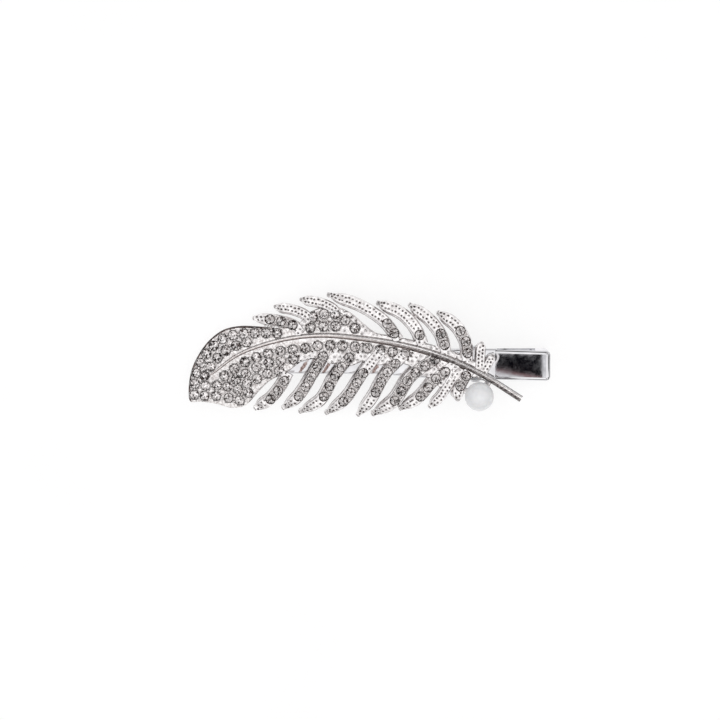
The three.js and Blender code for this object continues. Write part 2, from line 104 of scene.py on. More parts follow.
# Outline of the plate: the closed vane at the tip, then the web that carries the barbs' roots.
VANE_EDGE = [
    [-24.5, -8.3], [-25.8, -9.3], [-28.3, -9.7], [-31.4, -8.9], [-34.9, -8.4], [-37, -8.4],
    [-37.35, -6.4], [-36.7, -1.9], [-35.15, 1.5], [-32.9, 4.5], [-29.95, 6.7], [-26.6, 7.5], [-22, 7.4],
]
WEB_TOP = [
    [-17.5, 7.2], [-14, 8.4], [-12.3, 10.2], [-9.5, 11.4], [-6, 11.5], [-3.2, 10.2], [-0.8, 8.2],
    [1.8, 6.3], [5, 5.7], [10, 4.7], [15, 3.4], [20, 1.6], [24, -0.7],
]
WEB_BOTTOM = [
    [25.6, -4], [22.4, -2.9], [19.4, -3.4], [17.2, -4], [15, -5], [13.9, -3.4], [12.4, -2.9],
    [10.5, -1.7], [8.3, -0.4], [5.4, 0.3], [2.7, -0.5], [-0.4, 0.3], [-3.7, -0.7], [-5.3, 0.2],
    [-7.3, -0.3], [-10.2, 0.7], [-13.5, 0.2], [-16.4, -1.9], [-20.2, -3.85], [-22.5, -6],
]
WEB_T = 1.4

# Each barb runs from its root at the quill to its tip. Those whose CAD row has stones are set with them.
BARBS = {
    "l1": {"path": [[-16.4, -2.2], [-17.6, -4.6], [-20.2, -7.8], [-23.8, -10]]},
    "l2": {"path": [[-8.6, 2.2], [-11.2, -2.4], [-14.4, -7.3], [-17.9, -9.9]]},
    "l3": {"path": [[-3, 1.9], [-6.7, -2.9], [-9.7, -8], [-14.4, -10.6]]},
    "l4": {"path": [[3, 2.6], [-0.8, -2.2], [-4.6, -7.8], [-8.9, -10.9]]},
    "l5": {"path": [[7.7, 1.7], [4, -2.3], [0.9, -7.7], [-2.2, -11.3]]},
    "l6": {"path": [[14.6, 1.2], [9.2, -2.7], [5.5, -8.1], [0.8, -11]], "width": 2.6},
    "l7": {"path": [[18.6, 0], [14.2, -3.3], [10.6, -7.4], [6.5, -9.8]]},
    "l8": {"path": [[18.7, -1.5], [16.8, -4.6], [15.2, -7.1], [12.7, -9.4]], "width": 1.9},
    "l9": {"path": [[21.4, -1.2], [20.1, -3.3], [19, -5.6], [18.8, -8]]},
    "u1": {"path": [[-13.6, 5.9], [-15.2, 7.7], [-19.2, 8.8], [-24, 9.2]], "flank": 1.15},
    "u2": {"path": [[-11.6, 8.8], [-13, 10.1], [-15.6, 11.1], [-19.6, 11.6]], "width": 1.9},
    "u3": {"path": [[-6, 10.2], [-7.4, 11.5], [-10.2, 12.6], [-14.2, 13.1]], "width": 1.9},
    "u4": {"path": [[6.6, 4.9], [3.8, 8.6], [-1.6, 12.1], [-8.5, 14.2]], "width": 2.2},
    "u5": {"path": [[11.6, 4], [10.4, 6.9], [7.2, 10.4], [1.8, 12.6]]},
    "u6": {"path": [[16.4, 2.2], [15.6, 5.6], [12.9, 9.2], [8.5, 12.3]]},
    "u7": {"path": [[20.8, 0.6], [20.6, 4.2], [18.4, 8], [14.4, 10.7]]},
    "u8": {"path": [[23.3, -1.2], [23.5, 1], [23.6, 2.8], [23.8, 4.6]], "width": 1.9},
    "u9": {"path": [[24, -1.8], [24.9, -0.4], [25.6, 0.9], [26.2, 2.1]], "width": 1.7, "flank": 1.3},
}
BARB_W = 2.3
BARB_H = 1.6
FLANK = 1.42  # how far the plain flank reaches, in half widths
STEP = 0.13  # mesh spacing on the barbs

STONE_R = 0.9
STONE_GAP = 0.01  # least space between two stones, which are cut smaller where they stand too close
SEAT_R = 1.07  # around each stone the metal under it is painted dark, as painted shade
CUP = {"inner": 1.05, "outer": 1.13, "floor": 0.7}
STONE = {"culet": 0.9, "girdle": 1.42, "table": 1.78}
CHANNEL = {"half": 1.0, "soft": 0.1, "floor": 1.02}
STRAP = {"path": [[19.4, -5.4], [23.3, -6.65], [25.3, -3.6]], "width": 1.3, "low": -0.8, "high": 0.15}
PIT = {"r": 0.25, "depth": 0.3, "pitch": 0.8, "shift": 0.12, "last": 0.9, "side": 0.42}
TIP_ROUND = 0.5  # how far back from its end a barb is rounded
ACROSS, DOWN_FLANK = 23, 6  # mesh points over a barb's top and down its plain flank
PLATED, PAINTED_SHADE, GRAINED = range(3)  # material numbers on the plate and the barbs, the second for painted shade


def moved(points, matrix):
    """Rows of points carried by a 4 x 4 matrix."""
    table = np.array(matrix)
    return np.asarray(points, float) @ table[:3, :3].T + table[:3, 3]


def crown(points, sign=-1):
    """Points of the flat plan bent down to the crown, or with sign 1 flattened again."""
    bent = np.array(points, float)
    bent[:, 2] += sign * (bent[:, 1] - CROWN_Y) ** 2 / (2 * CROWN_R)
    return bent


def to_part(points, crowned=True):
    return moved(crown(points) if crowned else points, PLAN_TO_PART)


# ---------- curves ----------
def curve(points, closed=False, each=16):
    """Many points of a centripetal Catmull-Rom curve through the given ones."""
    p = np.array(points, float)
    ends = (p[-1:], p[:2]) if closed else ([2 * p[0] - p[1]], [2 * p[-1] - p[-2]])
    ring = np.concatenate([ends[0], p, ends[1]])
    t = np.linspace(0, 1, each, endpoint=False)[:, None]
    out = []
    for a, b, c, d in zip(ring, ring[1:], ring[2:], ring[3:]):
        da, db, dc = (np.linalg.norm(side) ** 0.5 for side in (b - a, c - b, d - c))
        start = ((b - a) / da - (c - a) / (da + db) + (c - b) / db) * db
        stop = ((c - b) / db - (d - b) / (db + dc) + (d - c) / dc) * db
        bend = 3 * (c - b) - 2 * start - stop
        out.append(b + start * t + bend * t**2 + (2 * (b - c) + start + stop) * t**3)
    if not closed:
        out.append(p[-1:])
    return np.concatenate(out)


def spaced(points, step):
    """Evenly spaced points along the curve through the given ones, their directions and the length."""
    line = curve(points)
    run = np.concatenate([[0], np.cumsum(np.linalg.norm(np.diff(line, axis=0), axis=1))])
    share = np.linspace(0, run[-1], max(3, round(run[-1] / step) + 1))
    at = np.stack([np.interp(share, run, line[:, k]) for k in range(line.shape[1])], axis=1)
    along = np.gradient(at, axis=0)
    return at, along / np.linalg.norm(along, axis=1)[:, None], run[-1]


def smooth(low, high, value):
    t = np.clip((value - low) / (high - low), 0, 1)
    return t * t * (3 - 2 * t)


def distance_to_line(points, line):
    """How far each plan point is from a polyline, which may be a single point."""
    if len(line) == 1:
        return np.linalg.norm(points - line[0], axis=1)
    best = np.full(len(points), np.inf)
    for a, b in zip(line, line[1:]):
        side = b - a
        share = np.clip((points - a) @ side / (side @ side), 0, 1)
        best = np.minimum(best, np.linalg.norm(points - a - share[:, None] * side, axis=1))
    return best


def distance_to_spots(points, spots):
    best = np.full(len(points), np.inf)
    for spot in spots:
        best = np.minimum(best, np.linalg.norm(points - spot, axis=1))
    return best


# ---------- meshes ----------
class Shell:
    """Closed bodies gathered into one object. slot numbers a face's material."""

    def __init__(self):
        self.points, self.faces, self.slots, self.count = [], [], [], 0

    def add(self, body, slot=0):
        points, faces = body
        self.points.append(np.asarray(points, float))
        self.faces += [tuple(int(i) + self.count for i in face) for face in faces]
        self.slots += [slot] * len(faces) if isinstance(slot, int) else list(slot)
        self.count += len(points)

    def build(self, name, materials, place=to_part, sharp=40, crease=0):
        """The finished object. The edges among its first points, crease of them, stay sharp."""
        mesh = bpy.data.meshes.new(name)
        mesh.from_pydata(place(np.concatenate(self.points)).tolist(), [], self.faces)
        for material in materials:
            mesh.materials.append(material)
        mesh.polygons.foreach_set("material_index", self.slots)
        piece = finished(mesh, name, sharp)
        for edge in mesh.edges:
            edge.use_edge_sharp = edge.use_edge_sharp or max(edge.vertices) < crease
        return piece


def finished(mesh, name, sharp):
    """Turns every face outwards, smooths all but the sharp edges and shows the mesh."""
    shape = bmesh.new()
    shape.from_mesh(mesh)
    bmesh.ops.recalc_face_normals(shape, faces=shape.faces)
    shape.to_mesh(mesh)
    shape.free()
    if sharp:
        mesh.shade_smooth()
        mesh.set_sharp_from_angle(angle=math.radians(sharp))
    else:
        mesh.shade_flat()
    piece = bpy.data.objects.new(name, mesh)
    bpy.context.scene.collection.objects.link(piece)
    return piece


def loft(rings):
    """A closed tube through rings of equal length."""
    rows, columns = len(rings), len(rings[0])
    faces = []
    for i in range(rows - 1):
        for j in range(columns):
            k = (j + 1) % columns
            faces.append((i * columns + j, i * columns + k, (i + 1) * columns + k, (i + 1) * columns + j))
    faces.append(tuple(range(columns)))
    faces.append(tuple((rows - 1) * columns + j for j in range(columns)))
    return np.concatenate(rings), faces


def loft_slots(marks):
    """Material numbers for a loft's faces, from one for each of its points."""
    marks = np.array(marks)
    pairs = np.minimum(marks, np.roll(marks, -1, axis=1))
    return [*np.maximum(pairs[:-1], pairs[1:]).ravel().tolist(), 0, 0]


def lathe(profile, sides, centre=(0, 0, 0)):
    """A body turned about Z from (radius, z) pairs that start and end on the axis."""
    points, faces, rows = [], [], []
    for radius, z in profile:
        count = sides if radius else 1
        rows.append(range(len(points), len(points) + count))
        for j in range(count):
            turn = 2 * math.pi * j / sides
            points.append((radius * math.cos(turn), radius * math.sin(turn), z))
    for low, high in zip(rows, rows[1:]):
        for j in range(sides):
            k = (j + 1) % sides
            ring = low[j % len(low)], low[k % len(low)], high[k % len(high)], high[j % len(high)]
            face = tuple(dict.fromkeys(ring))
            if len(face) > 2:
                faces.append(face)
    return np.array(points, float) + np.array(centre, float), faces


def arc(centre_r, centre_z, r, start, stop, steps):
    """Points of a profile on an arc, with angles in degrees from the outward direction."""
    turns = np.radians(np.linspace(start, stop, steps))
    return [(centre_r + r * math.cos(t), centre_z + r * math.sin(t)) for t in turns]


def tube(line, radius, sides=12):
    """A round wire along a line of points in space."""
    line = np.asarray(line, float)
    along = np.gradient(line, axis=0)
    along /= np.linalg.norm(along, axis=1)[:, None]
    side = np.cross(along[0], (0, 0, 1.0))
    turns = 2 * np.pi * np.arange(sides) / sides
    rings = []
    for at, way in zip(line, along):
        side = side - way * (side @ way)
        side /= np.linalg.norm(side)
        up = np.cross(way, side)
        rings.append(at + radius * (np.outer(np.cos(turns), side) + np.outer(np.sin(turns), up)))
    return loft(rings)


# ---------- materials ----------
def node(tree, kind, inputs=(), **settings):
    made = tree.nodes.new("ShaderNode" + kind)
    for key, value in settings.items():
        setattr(made, key, value)
    for key, value in dict(inputs).items():
        if isinstance(value, bpy.types.NodeSocket):
            tree.links.new(value, made.inputs[key])
        else:
            made.inputs[key].default_value = value
    return made


def between(tree, value, low, high, to_low, to_high):
    inputs = {"Value": value, "From Min": low, "From Max": high, "To Min": to_low, "To Max": to_high}
    return node(tree, "MapRange", inputs).outputs["Result"]


def blend_colours(tree, share, first, second):
    mix = node(tree, "Mix", {"Factor": share}, data_type="RGBA")
    for socket, colour in ((mix.inputs[6], first), (mix.inputs[7], second)):
        if isinstance(colour, bpy.types.NodeSocket):
            tree.links.new(colour, socket)
        else:
            socket.default_value = (*colour, 1)
    return mix.outputs[2]


def noise(tree, per_mm, detail=3.0, rough=0.55):
    """Noise in the part's own space, with its size given as features to the millimetre."""
    place = node(tree, "TexCoord").outputs["Object"]
    inputs = {"Vector": place, "Scale": per_mm / MM, "Detail": detail, "Roughness": rough}
    return node(tree, "TexNoise", inputs).outputs["Fac"]


def finish_of(name, tones, roughness, patches, grain, depth, metallic=1.0, **constants):
    """A surface whose colour and roughness drift in patches, over a grain of the given depth in mm."""
    made = bpy.data.materials.new(name)
    made.use_nodes = True
    tree = made.node_tree
    shader = tree.nodes["Principled BSDF"]
    drift = between(tree, noise(tree, patches), 0.36, 0.64, 0.0, 1.0)
    colour = blend_colours(tree, drift, *tones)
    wear = noise(tree, patches * 2.7, 5.0)
    tree.links.new(colour, shader.inputs["Base Color"])
    tree.links.new(between(tree, wear, 0.3, 0.7, *roughness), shader.inputs["Roughness"])
    inputs = {"Strength": 1.0, "Distance": depth * MM, "Height": noise(tree, grain, 4.0, 0.6)}
    tree.links.new(node(tree, "Bump", inputs).outputs["Normal"], shader.inputs["Normal"])
    shader.inputs["Metallic"].default_value = metallic
    for key, value in constants.items():
        shader.inputs[key.replace("_", " ")].default_value = value
    return made


def product(tree, *parts):
    share = parts[0]
    for part in parts[1:]:
        share = node(tree, "Math", {0: share, 1: part}, operation="MULTIPLY").outputs[0]
    return share


def mottle(tree, share, tones):
    """Turns a surface's colour to mottled tones where share is 1."""
    shader = tree.nodes["Principled BSDF"]
    mottled = blend_colours(tree, between(tree, noise(tree, 2.4, 4.0), 0.42, 0.58, 0.0, 1.0), *tones)
    before = shader.inputs["Base Color"].links[0].from_socket
    tree.links.new(blend_colours(tree, share, before, mottled), shader.inputs["Base Color"])


def shaded_along(material, start, stop, tones):
    """Mottles a surface from start to stop, two places in mm along X."""
    tree = material.node_tree
    along = node(tree, "SeparateXYZ", {0: node(tree, "TexCoord").outputs["Object"]}).outputs["X"]
    mottle(tree, between(tree, along, start * MM, stop * MM, 0.0, 1.0), tones)


def brown_streaked(material, spots, half_length, half_width, turn, tones):
    """Mottles the top of a surface in short parallel streaks at spots in the plan."""
    tree = material.node_tree
    space = node(tree, "TexCoord")
    facing = node(tree, "SeparateXYZ", {0: space.outputs["Normal"]}).outputs["Z"]
    nearest = None
    for x, y in spots:
        middle = to_part([[x, y, 0]])[0]
        offset = node(tree, "VectorMath", {0: space.outputs["Object"], 1: middle}, operation="SUBTRACT")
        flat = node(tree, "VectorMath", {0: offset.outputs[0], 1: (1, 1, 0)}, operation="MULTIPLY").outputs[0]
        turned = node(tree, "VectorRotate", {"Vector": flat, "Angle": -math.radians(turn)}).outputs[0]
        scale = (1 / half_length / MM, 1 / half_width / MM, 0)
        scaled = node(tree, "VectorMath", {0: turned, 1: scale}, operation="MULTIPLY").outputs[0]
        far = node(tree, "VectorMath", {0: scaled}, operation="LENGTH").outputs["Value"]
        if nearest is None:
            nearest = far
        else:
            nearest = node(tree, "Math", {0: nearest, 1: far}, operation="MINIMUM").outputs[0]
    uneven = between(tree, noise(tree, 1.6), 0.3, 0.7, -0.3, 0.3)
    ragged = node(tree, "Math", {0: nearest, 1: uneven}).outputs[0]
    streak = between(tree, ragged, 1.1, 0.7, 0.0, 1.0)
    upward = between(tree, facing, 0.3, 0.8, 0.0, 1.0)
    mottle(tree, product(tree, streak, upward), tones)


def scuffed(material):
    """Adds fine dull scuffs to a polished surface."""
    tree = material.node_tree
    rough = tree.nodes["Principled BSDF"].inputs["Roughness"]
    scuffs = between(tree, noise(tree, 1.6, 9.0, 0.8), 0.63, 0.67, 0.0, 0.3)
    total = node(tree, "Math", {0: rough.links[0].from_socket, 1: scuffs}, operation="MAXIMUM").outputs[0]
    tree.links.new(total, rough)


CAST = ((0.62, 0.595, 0.593), (0.92, 0.903, 0.9))
plating = finish_of("cast_plating", CAST, (0.12, 0.26), 1.4, 4.0, 0.01)
# Painted shade: a dark finish for the cup insides, the pits, the seats round the stones, the plate's sloping
# border and the quill's crevice strip, where shade falls.
painted_recess_shade = finish_of("setting_painted_shade", ((0.04, 0.029, 0.027), (0.2, 0.16, 0.15)), (0.3, 0.55), 1.6, 6.0, 0.03)
bead_metal = finish_of("bead_plating", ((0.7, 0.66, 0.65), (0.95, 0.93, 0.925)), (0.08, 0.2), 1.5, 6.0, 0.006)
GROUND_TONES = ((0.52, 0.48, 0.47), (0.98, 0.965, 0.955))
grained = finish_of("grained_ground", GROUND_TONES, (0.18, 0.4), 2.2, 5.0, 0.035)
QUILL_TONES = ((0.7, 0.64, 0.62), (0.93, 0.88, 0.865))
quill_skin = finish_of("quill_plating", QUILL_TONES, (0.24, 0.42), 1.2, 4.0, 0.04)
shaded_along(quill_skin, -10, 14, ((0.07, 0.06, 0.058), (0.33, 0.305, 0.3)))
BRIGHT = ((0.6, 0.6, 0.615), (0.75, 0.75, 0.77))
mirror = finish_of("clip_plating", BRIGHT, (0.03, 0.07), 0.25, 1.5, 0.001)
tinted = finish_of("clip_plating_brown_streaked", BRIGHT, (0.01, 0.03), 0.25, 1.5, 0.0)
# Short dark brown streaks on the upper arm's face under the feather.
STREAK_SPOTS = [[-13.3, -1], [-8.5, -1.2], [-4.6, -0.9], [1.7, -1.3], [5.6, -1.2]]
brown_streaked(tinted, STREAK_SPOTS, 1.7, 0.4, 56, ((0.13, 0.085, 0.078), (0.36, 0.28, 0.26)))
scuffed(tinted)
wire_metal = finish_of("spring_steel", ((0.42, 0.42, 0.44), (0.6, 0.6, 0.62)), (0.2, 0.38), 0.9, 9.0, 0.008)
tin = finish_of("solder", ((0.4, 0.4, 0.41), (0.62, 0.62, 0.63)), (0.35, 0.55), 0.8, 3.0, 0.03)
# The foil glows a little: painted light that brightens the stones.
foil = finish_of(
    "crystal_foil", ((0.85, 0.83, 0.825), (0.97, 0.955, 0.95)), (0.04, 0.12), 0.9, 3.0, 0.002,
    Emission_Color=(1.0, 0.965, 0.955, 1.0), Emission_Strength=0.26,
)
# Painted dark reflections: a dark foil on some of the stones' lower facets.
DIM_TONES = ((0.06, 0.044, 0.042), (0.22, 0.175, 0.165))
dark_reflection_foil = finish_of("crystal_foil_painted_dark", DIM_TONES, (0.1, 0.3), 0.9, 3.0, 0.002)
glass = finish_of(
    "crystal_glass", ((0.96, 0.955, 0.965), (1.0, 1.0, 1.0)), (0.0, 0.03), 0.8, 2.0, 0.0006, metallic=0.0,
    Transmission_Weight=1.0, IOR=1.56,
)
# The pearl glows a little: painted light that brightens it.
nacre = finish_of(
    "imitation_pearl", ((0.86, 0.87, 0.885), (0.92, 0.925, 0.935)), (0.2, 0.3), 0.35, 1.2, 0.004,
    metallic=0.0, Subsurface_Weight=0.25, Coat_Weight=0.3, Coat_Roughness=0.1, IOR=1.53,
    Sheen_Weight=0.9, Sheen_Roughness=0.35, Emission_Color=(0.9, 0.95, 1.0, 1.0), Emission_Strength=0.07,
)
nacre.node_tree.nodes["Principled BSDF"].inputs["Subsurface Radius"].default_value = (0.0012, 0.0011, 0.001)
nacre.node_tree.nodes["Principled BSDF"].inputs["Subsurface Scale"].default_value = 1.0


# ---------- stones ----------
ROWS = [name for name in frame["nodes"] if name.startswith("stones_")]
TABLE_WIDTH = 1.08  # no two corners of one stone's flat top lie further apart
LEAN = 0.05  # how far a stone may lean about each axis, in radians
DIM_SHARE = 0.3  # how many of a stone's lower facets get a dark foil, as painted dark reflections


def stone_centres(row):
    """The centres of a row's stones in the plan, found from the flat tops of its CAD solid."""
    corners = moved([v.co for v in frame["nodes"][row].data.vertices], PART_TO_PLAN)
    corners = crown(corners, 1)
    tops = corners[corners[:, 2] > corners[:, 2].max() - 0.1]
    tops = np.unique(np.round(tops[:, :2], 2), axis=0)
    centres = []
    while len(tops):
        near = np.linalg.norm(tops - tops[0], axis=1) < TABLE_WIDTH
        centres.append(tops[near].mean(axis=0))
        tops = tops[~near]
    return np.array(centres)


CENTRES = {row: stone_centres(row) for row in ROWS}
ALL_STONES = np.concatenate(list(CENTRES.values()))


def stone_radius(x, y):
    """The usual radius, or less where the nearest neighbour leaves too little room."""
    nearest = np.sort(np.linalg.norm(ALL_STONES - (x, y), axis=1))[1]
    return min(STONE_R, (nearest - STONE_GAP) / 2)


def brilliant(x, y, turn):
    """A cut stone: eight kites and sixteen girdle facets above, and a foiled point below."""
    girdle, table = STONE["girdle"], STONE["table"]
    rings = [
        (0.56, table, 8, 0.0), (0.8, girdle + 0.24, 8, 0.5), (1.0, girdle + 0.05, 16, 0.0),
        (1.0, girdle, 16, 0.0), (0.45, (girdle + STONE["culet"]) / 2 - 0.02, 8, 0.5),
    ]
    size = stone_radius(x, y)
    points, starts = [], []
    for share, z, count, offset in rings:
        starts.append(len(points))
        for i in range(count):
            angle = turn + 2 * math.pi * (i + offset) / count
            radius = share * size
            points.append((x + radius * math.cos(angle), y + radius * math.sin(angle), z))
    points.append((x, y, STONE["culet"]))
    top, kite, rim, edge, low = starts
    crown_faces, foil_faces = [tuple(top + i for i in range(8))], []
    for i in range(8):
        j = (i + 1) % 8
        a, b, c = 2 * i, 2 * i + 1, 2 * j
        crown_faces += [
            (top + i, kite + i, top + j),
            (top + i, kite + (i - 1) % 8, rim + a, kite + i),
            (kite + i, rim + a, rim + b),
            (kite + i, rim + b, rim + c),
            (rim + a, edge + a, edge + b, rim + b),
            (rim + b, edge + b, edge + c, rim + c),
        ]
        foil_faces += [
            (edge + a, low + i, edge + b),
            (edge + b, low + i, edge + c),
            (edge + c, low + i, low + j),
            (low + i, len(points) - 1, low + j),
        ]
    foils = [1 + int(dice.random() < DIM_SHARE) for _ in foil_faces]
    return points, crown_faces + foil_faces, [0] * len(crown_faces) + foils


def gems(row):
    shell = Shell()
    for x, y in CENTRES[row]:
        points, faces, slots = brilliant(x, y, dice.uniform(0, math.pi / 4))
        leaning = np.array(points) - (x, y, STONE["girdle"])
        about_x, about_y = (Matrix.Rotation(dice.uniform(-LEAN, LEAN), 3, axis) for axis in "XY")
        lean = np.array(about_x @ about_y)
        shell.add((leaning @ lean.T + (x, y, STONE["girdle"]), faces), slots)
    piece = shell.build(row.replace("stones", "gems"), [glass, foil, dark_reflection_foil], sharp=0)
    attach(piece, "upper_arm")
    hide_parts(row)


def settings_of_stones():
    """Round cups with a dark inside of painted shade, one under each stone."""
    inner, outer = CUP["inner"], CUP["outer"]
    rim = (outer - inner) / 2
    wall = [
        (0, 0.5), (outer - 0.1, 0.5), (outer, 0.75), (outer, 1.38), *arc(outer - rim, 1.42, rim, 0, 150, 4),
    ]
    inside = [(inner, 1.3), (inner - 0.05, 1.0), (0, CUP["floor"])]
    sides = 24
    shell = Shell()
    for x, y in ALL_STONES:
        points, faces = lathe(wall + inside, sides, (x, y, 0))
        dark = len(inside) * sides
        shell.add((points, faces), [0] * (len(faces) - dark) + [1] * dark)
    piece = shell.build("stone_cups", [plating, painted_recess_shade])
    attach(piece, "upper_arm")


# ---------- feather metal ----------
def taper(share, least):
    past = np.clip((share - 0.7) / 0.3, 0, 1)
    return np.maximum(least, 1 - past**2.6)


def pits_along(at, along, half, stones):
    """Two staggered, uneven rows of pits down a barb, where it carries no stones."""
    gap = round(PIT["pitch"] / STEP)
    spots = []
    for row, side in enumerate((-PIT["side"], PIT["side"])):
        for i in range(gap // 2 * row + 2, len(at) - round(PIT["last"] / STEP), gap):
            normal = np.array([-along[i, 1], along[i, 0]])
            spots.append(at[i] + normal * side * half[i] + dice.uniform(-1, 1, 2) * PIT["shift"])
    spots = np.array(spots)
    return spots if not len(stones) else spots[distance_to_line(spots, stones) > CHANNEL["half"] + PIT["r"]]


def barb(name, shape):
    at, along, _ = spaced(shape["path"], STEP)
    share = np.linspace(0, 1, len(at))
    left = len(at) - 1 - np.arange(len(at))
    blunt = np.sqrt(1 - (1 - np.minimum(1, (left + 0.4) * STEP / TIP_ROUND)) ** 2)
    half = shape.get("width", BARB_W) / 2 * taper(share, 0.42) * blunt
    height = BARB_H * (1 - 0.3 * (1 - taper(share, 0))) * (0.45 + 0.55 * blunt)
    side = 1 if name.startswith("u") else -1
    stones = CENTRES.get("stones_barb_" + name, np.zeros((0, 2)))
    stones = np.array(sorted(stones.tolist(), key=lambda c: math.dist(c, shape["path"][0]))).reshape(-1, 2)
    pits = pits_along(at, along, half, stones)
    flank = shape.get("flank", FLANK)
    across = np.concatenate([np.linspace(-1, 1, ACROSS), np.linspace(1.0, flank, DOWN_FLANK)[1:]])
    top = 1 - 0.2 * smooth(0.82, 1.0, -across) - 0.62 * smooth(0.86, flank, across)
    depths = dice.uniform(0.5, 1.0, len(pits))
    rings, slots = [], []
    for i in range(len(at)):
        normal = np.array([-along[i, 1], along[i, 0]]) * side
        plan = at[i] + np.outer(across * half[i], normal)
        z = height[i] * top
        cut = np.zeros(len(plan))
        if len(stones):
            away = distance_to_line(plan, stones)
            cut = 1 - smooth(CHANNEL["half"] - CHANNEL["soft"], CHANNEL["half"], away)
        z -= np.maximum(0, z - CHANNEL["floor"]) * cut
        dip = np.zeros(len(plan))
        for spot, deep in zip(pits, depths):
            away = np.linalg.norm(plan - spot, axis=1)
            dip = np.maximum(dip, deep * (1 - smooth(0.3 * PIT["r"], PIT["r"], away)))
        z -= PIT["depth"] * dip
        surface = np.column_stack([plan, z])
        under = np.column_stack([plan[[-1, -9, 9, 0]], np.zeros(4)])
        rings.append(np.concatenate([surface, under]))
        # Painted shade in the pits and on the metal round each stone; the channels get the grained ground.
        marks = np.where(cut > 0.5, GRAINED, np.where(dip > 0.4, PAINTED_SHADE, PLATED))
        marks[distance_to_spots(plan, stones) < SEAT_R] = PAINTED_SHADE
        slots.append([*marks, *[PLATED] * len(under)])
    return loft(rings), loft_slots(slots)


def quill_radius(share):
    first = QUILL["tip"] + (QUILL["middle"] - QUILL["tip"]) * np.sqrt(np.minimum(1, share / 0.5))
    return first + (QUILL["stem"] - QUILL["middle"]) * np.clip((share - 0.5) / 0.5, 0, 1)


def quill():
    at, along, _ = spaced(QUILL_PATH, 0.3)
    share = np.linspace(0, 1, len(at))
    turns = 2 * np.pi * np.arange(QUILL_SIDES) / QUILL_SIDES
    side = np.cos(turns)
    rings = []
    for i, r in enumerate(quill_radius(share)):
        normal = np.array([-along[i, 1], along[i, 0]])
        across = r * side * np.where(side > 0, 1 + QUILL["flank"] * share[i], 1)
        plan = at[i] + np.outer(across, normal)
        rings.append(np.column_stack([plan, QUILL["centre_z"] + r * QUILL["flat"] * np.sin(turns)]))
    granular = (side < SMOOTH_FLANK).astype(int)
    return loft(rings), loft_slots([granular] * len(rings))


def quill_shadow():
    """The dark line of the crevice at each side of the quill, as a strip that it lies on."""
    at, along, _ = spaced(QUILL_PATH, 0.3)
    share = np.linspace(0, 1, len(at))
    low, high = 0.9, WEB_T + 0.05
    rings = []
    for i, r in enumerate(quill_radius(share)):
        if share[i] > CREVICE["end"]:
            break
        normal = np.array([-along[i, 1], along[i, 0]])
        left = at[i] + normal * r * (1 + QUILL["flank"] * share[i] + CREVICE["above"])
        right = at[i] - normal * r * (1 + CREVICE["below"])
        rings.append(np.array([(*left, low), (*right, low), (*right, high), (*left, high)]))
    return loft(rings)


def bar(points, half, low, high, step=0.4):
    """A flat strip with rounded upper edges along a path in the plan."""
    at, along, _ = spaced(points, step)
    soft = min(0.3 * half, 0.4 * (high - low))
    section = [(-half, low), (half, low), (half, high - soft), (half - 0.3 * soft, high - 0.3 * soft),
               (half - soft, high), (soft - half, high), (0.3 * soft - half, high - 0.3 * soft),
               (-half, high - soft)]
    rings = []
    for place, way in zip(at, along):
        normal = np.array([-way[1], way[0]])
        rings.append([(*(place + across * normal), z) for across, z in section])
    return loft([np.array(ring) for ring in rings])


OUTLINE = curve(VANE_EDGE + WEB_TOP + WEB_BOTTOM, closed=True, each=6)
OUTLINE = np.clip(OUTLINE, np.min(VANE_EDGE + WEB_BOTTOM, axis=0), [99, 99])
GRID = 0.21  # mesh spacing on the plate


def inside_outline(points):
    """Whether each point lies in the plate's outline, by counting the sides that a ray crosses."""
    crossed = np.zeros(len(points), bool)
    for a, b in zip(OUTLINE, np.roll(OUTLINE, -1, axis=0)):
        spans = (a[1] > points[:, 1]) != (b[1] > points[:, 1])
        with np.errstate(divide="ignore", invalid="ignore"):
            x = a[0] + (points[:, 1] - a[1]) * (b[0] - a[0]) / (b[1] - a[1])
        crossed ^= spans & (points[:, 0] < x)
    return crossed


def scattered(low, high, pitch, wobble):
    """A jittered grid of plan points in a box."""
    columns, rows = ((np.array(high) - low) / pitch).astype(int)
    grid = np.array([(i + 0.5 * (j % 2), j * 0.87) for i in range(columns) for j in range(int(rows / 0.87))])
    return np.array(low) + grid * pitch + dice.uniform(-wobble, wobble, grid.shape)


VANE_END = -14.0  # right of here the plate is the web between the barbs, pitted where it shows
WEB_PIT = {"r": 0.3, "depth": 0.3, "pitch": 1.05, "shift": 0.2, "from_stones": 1.35, "from_quill": 0.9}
GROUND = 1.5  # how far the grained ground reaches from the stones on the web
RIM = curve(VANE_EDGE[5:])
BORDER = 0.2  # width of the plate's sloping border


def plate_relief(points):
    """The height of the plate's face at plan points, and the material number there."""
    edge = distance_to_line(points, np.concatenate([OUTLINE, OUTLINE[:1]]))
    z = WEB_T - 0.3 * (1 - smooth(0, BORDER, edge))
    near = distance_to_spots(points, ALL_STONES)
    seats = 1 - smooth(CUP["inner"] - 0.02, CUP["outer"], near)
    z -= seats * (z - CUP["floor"])
    pits = scattered((VANE_END, -6), (26, 12), WEB_PIT["pitch"], WEB_PIT["shift"])
    clear = distance_to_spots(pits, ALL_STONES) > WEB_PIT["from_stones"]
    clear &= distance_to_line(pits, curve(QUILL_PATH)) > WEB_PIT["from_quill"]
    dips = 1 - smooth(0.08, WEB_PIT["r"], distance_to_spots(points, pits[clear]))
    slots = np.where((points[:, 0] < VANE_END) | (near < GROUND), GRAINED, PLATED)
    # Painted shade on the sloping border, in the stone seats and in the pits.
    slots[(distance_to_line(points, RIM) < BORDER + 0.02) | (seats > 0.4) | (dips > 0.4)] = PAINTED_SHADE
    return z - WEB_PIT["depth"] * dips, slots


